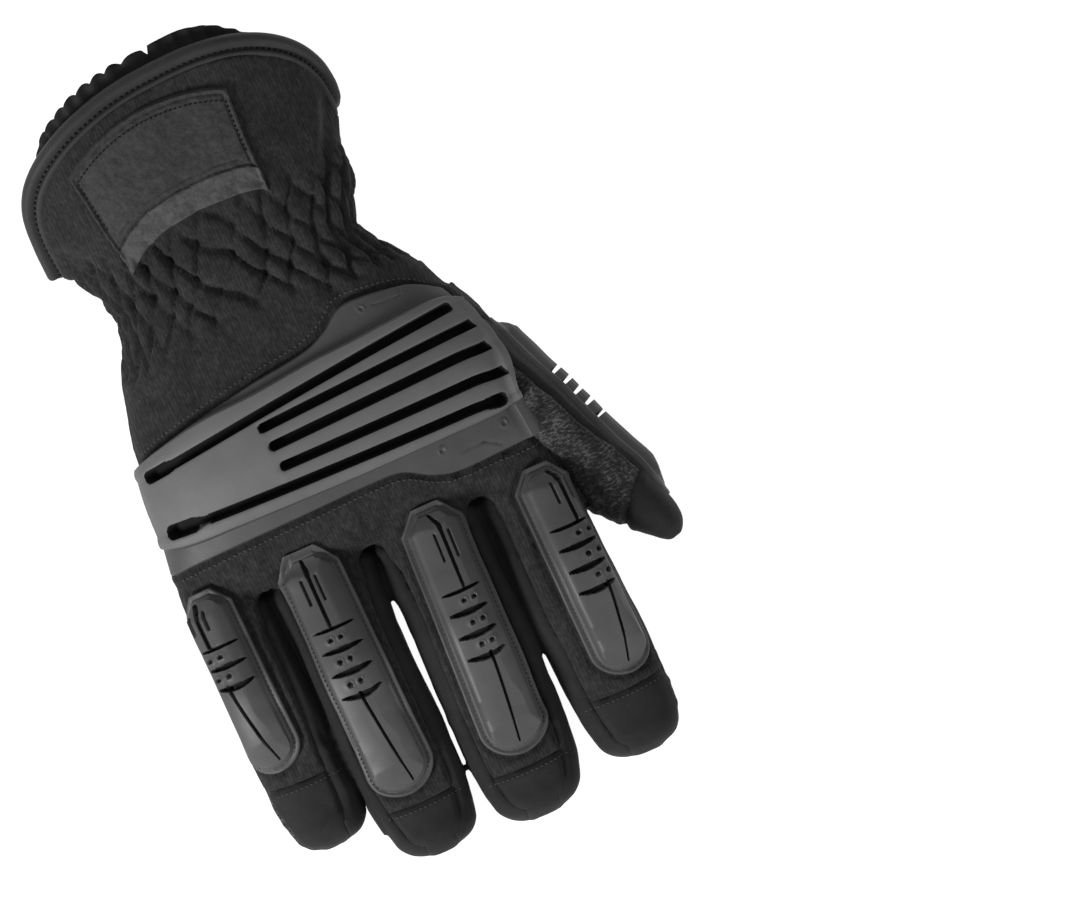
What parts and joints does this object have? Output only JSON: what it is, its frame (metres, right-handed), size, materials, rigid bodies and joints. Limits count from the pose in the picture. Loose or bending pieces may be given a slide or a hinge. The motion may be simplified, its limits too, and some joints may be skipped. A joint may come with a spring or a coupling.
{
  "type": "extrication glove",
  "caption": "Right-hand rescue glove lying palm down, with a textured palm, moulded rubber knuckle, finger and thumb guards, a gathered wrist and a flared bound cuff",
  "frame": {"origin": "the middle of the flat place under the palm on which the glove rests", "axes": "+X to the little finger's side, +Y to the fingertips, +Z out of the back of the hand"},
  "size_m": [0.15, 0.2593, 0.0615],
  "materials": {
    "woven_cloth": "black stretch cloth with a fine rib, matte",
    "palm_cloth": "dark grey crinkled aramid knit with light and dark flecks, matte",
    "smooth_cloth": "black smooth woven cloth, matte",
    "tip_cloth": "black coated cloth with a fine grain, matte",
    "binding_cloth": "black padded edge binding with a faint sheen",
    "lining_cloth": "black gathered lining, matte",
    "patch_rubber": "dark grey moulded patch, satin",
    "guard_rubber": "mid grey moulded rubber, satin"
  },
  "bodies": {
    "root": {"back_panel": "woven_cloth", "palm_panel": "palm_cloth", "cuff_palm": "smooth_cloth", "side_strip_index_middle": "smooth_cloth", "side_strip_middle_ring": "smooth_cloth", "side_strip_ring_little": "smooth_cloth", "fingertip_index": "tip_cloth", "fingertip_middle": "tip_cloth", "fingertip_ring": "tip_cloth", "fingertip_little": "tip_cloth", "thumb_back": "smooth_cloth", "thumb_palm": "palm_cloth", "cuff_binding": "binding_cloth", "cuff_lining": "lining_cloth", "cuff_patch": "patch_rubber", "knuckle_guard": "guard_rubber", "index_guard": "guard_rubber", "middle_guard": "guard_rubber", "ring_guard": "guard_rubber", "little_guard": "guard_rubber", "thumb_guard": "guard_rubber"}
  },
  "joints": []
}
